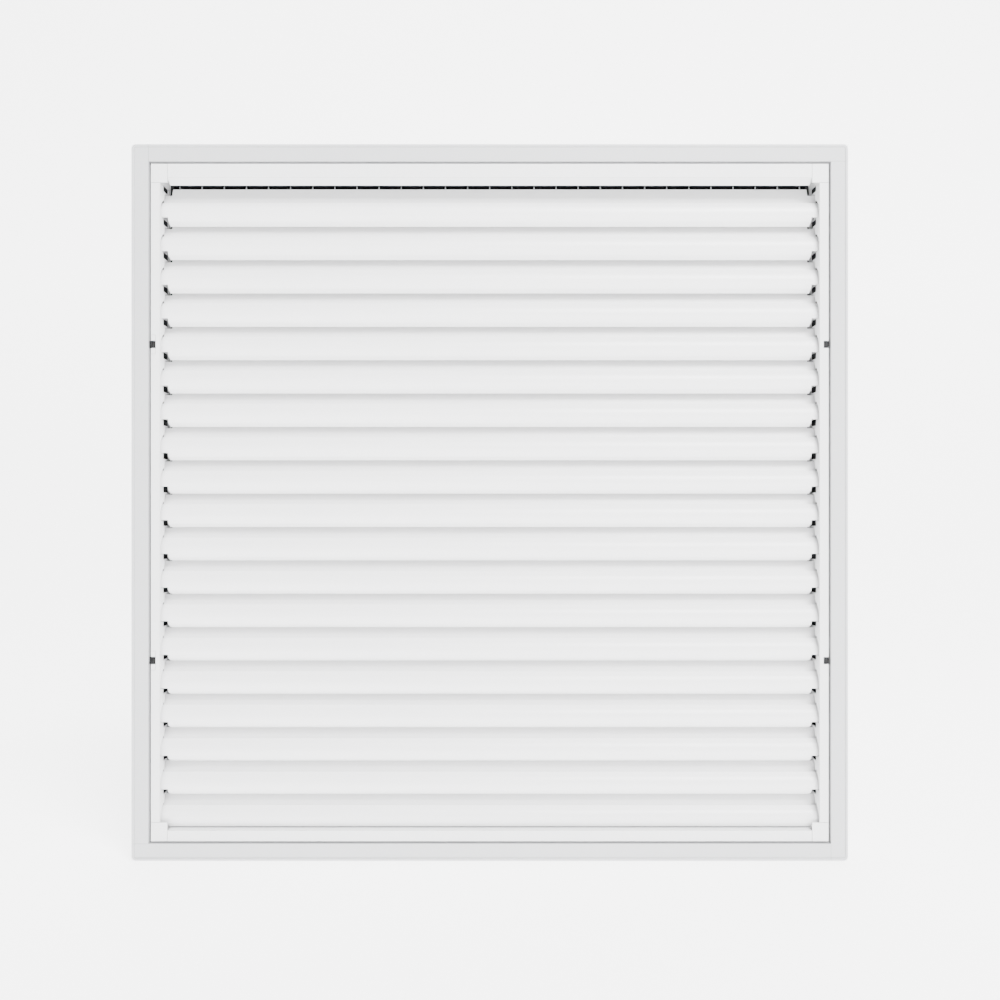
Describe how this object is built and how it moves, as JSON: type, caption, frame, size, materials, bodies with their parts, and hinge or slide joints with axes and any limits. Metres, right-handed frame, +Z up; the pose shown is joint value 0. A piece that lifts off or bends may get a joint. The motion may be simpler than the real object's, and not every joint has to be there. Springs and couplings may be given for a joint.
{
  "type": "louvred air grille",
  "caption": "Square return-air grille: flanged outer frame, hinged core of fixed curved louvre blades with corner blocks, and a filter cassette clipped behind it",
  "frame": {"origin": "centre of the plane on which the outer flange seats against the wall", "axes": "+Z up, +X to the right when facing the grille, +Y into the wall"},
  "size_m": [0.595, 0.0452, 0.595],
  "materials": {
    "frame_white": "satin white powder coat",
    "core_white": "satin white powder coat",
    "blade_white": "satin white powder coat on rolled strip",
    "black_nylon": "matte moulded",
    "zinc_steel": "zinc plated",
    "rivet_aluminium": "plain",
    "filter_black": "matte black coat",
    "filter_fibre": "coarse synthetic fibre"
  },
  "bodies": {
    "frame": {"frame_rail_top": "frame_white", "frame_rail_right": "frame_white", "frame_rail_bottom": "frame_white", "frame_rail_left": "frame_white", "frame_corner_angles": "zinc_steel", "frame_corner_rivets": "rivet_aluminium", "hinge_blocks": "black_nylon", "hinge_rivets": "rivet_aluminium", "catch_strikes": "zinc_steel", "strike_rivets": "rivet_aluminium"},
    "core": {"core_jamb_left": "core_white", "core_jamb_right": "core_white", "core_head_rail": "core_white", "core_sill_rail": "core_white", "core_corner_top_left": "core_white", "core_corner_top_right": "core_white", "core_corner_bottom_left": "core_white", "core_corner_bottom_right": "core_white", "core_rivets": "rivet_aluminium", "blade_01": "blade_white", "blade_02": "blade_white", "blade_03": "blade_white", "blade_04": "blade_white", "blade_05": "blade_white", "blade_06": "blade_white", "blade_07": "blade_white", "blade_08": "blade_white", "blade_09": "blade_white", "blade_10": "blade_white", "blade_11": "blade_white", "blade_12": "blade_white", "blade_13": "blade_white", "blade_14": "blade_white", "blade_15": "blade_white", "blade_16": "blade_white", "blade_17": "blade_white", "blade_18": "blade_white", "blade_19": "blade_white", "blade_retainer_left": "black_nylon", "blade_retainer_right": "black_nylon", "hinge_eyes": "core_white", "hinge_pins": "zinc_steel", "catch_magnets": "black_nylon", "filter_clips": "zinc_steel"},
    "filter": {"filter_rail_top": "filter_black", "filter_rail_right": "filter_black", "filter_rail_bottom": "filter_black", "filter_rail_left": "filter_black", "filter_mat": "filter_fibre", "filter_wires_upright": "zinc_steel", "filter_wires_level": "zinc_steel"}
  },
  "joints": [
    {"name": "core_hinge", "type": "hinge", "parent": "frame", "child": "core", "pos_m": [-0.2802, 0.0016, 0], "axis": [0, 0, -1], "range_deg": [0, 100]},
    {"name": "filter_slide", "type": "slide", "parent": "core", "child": "filter", "axis": [0, 1, 0], "range_m": [0, 0.06]}
  ]
}
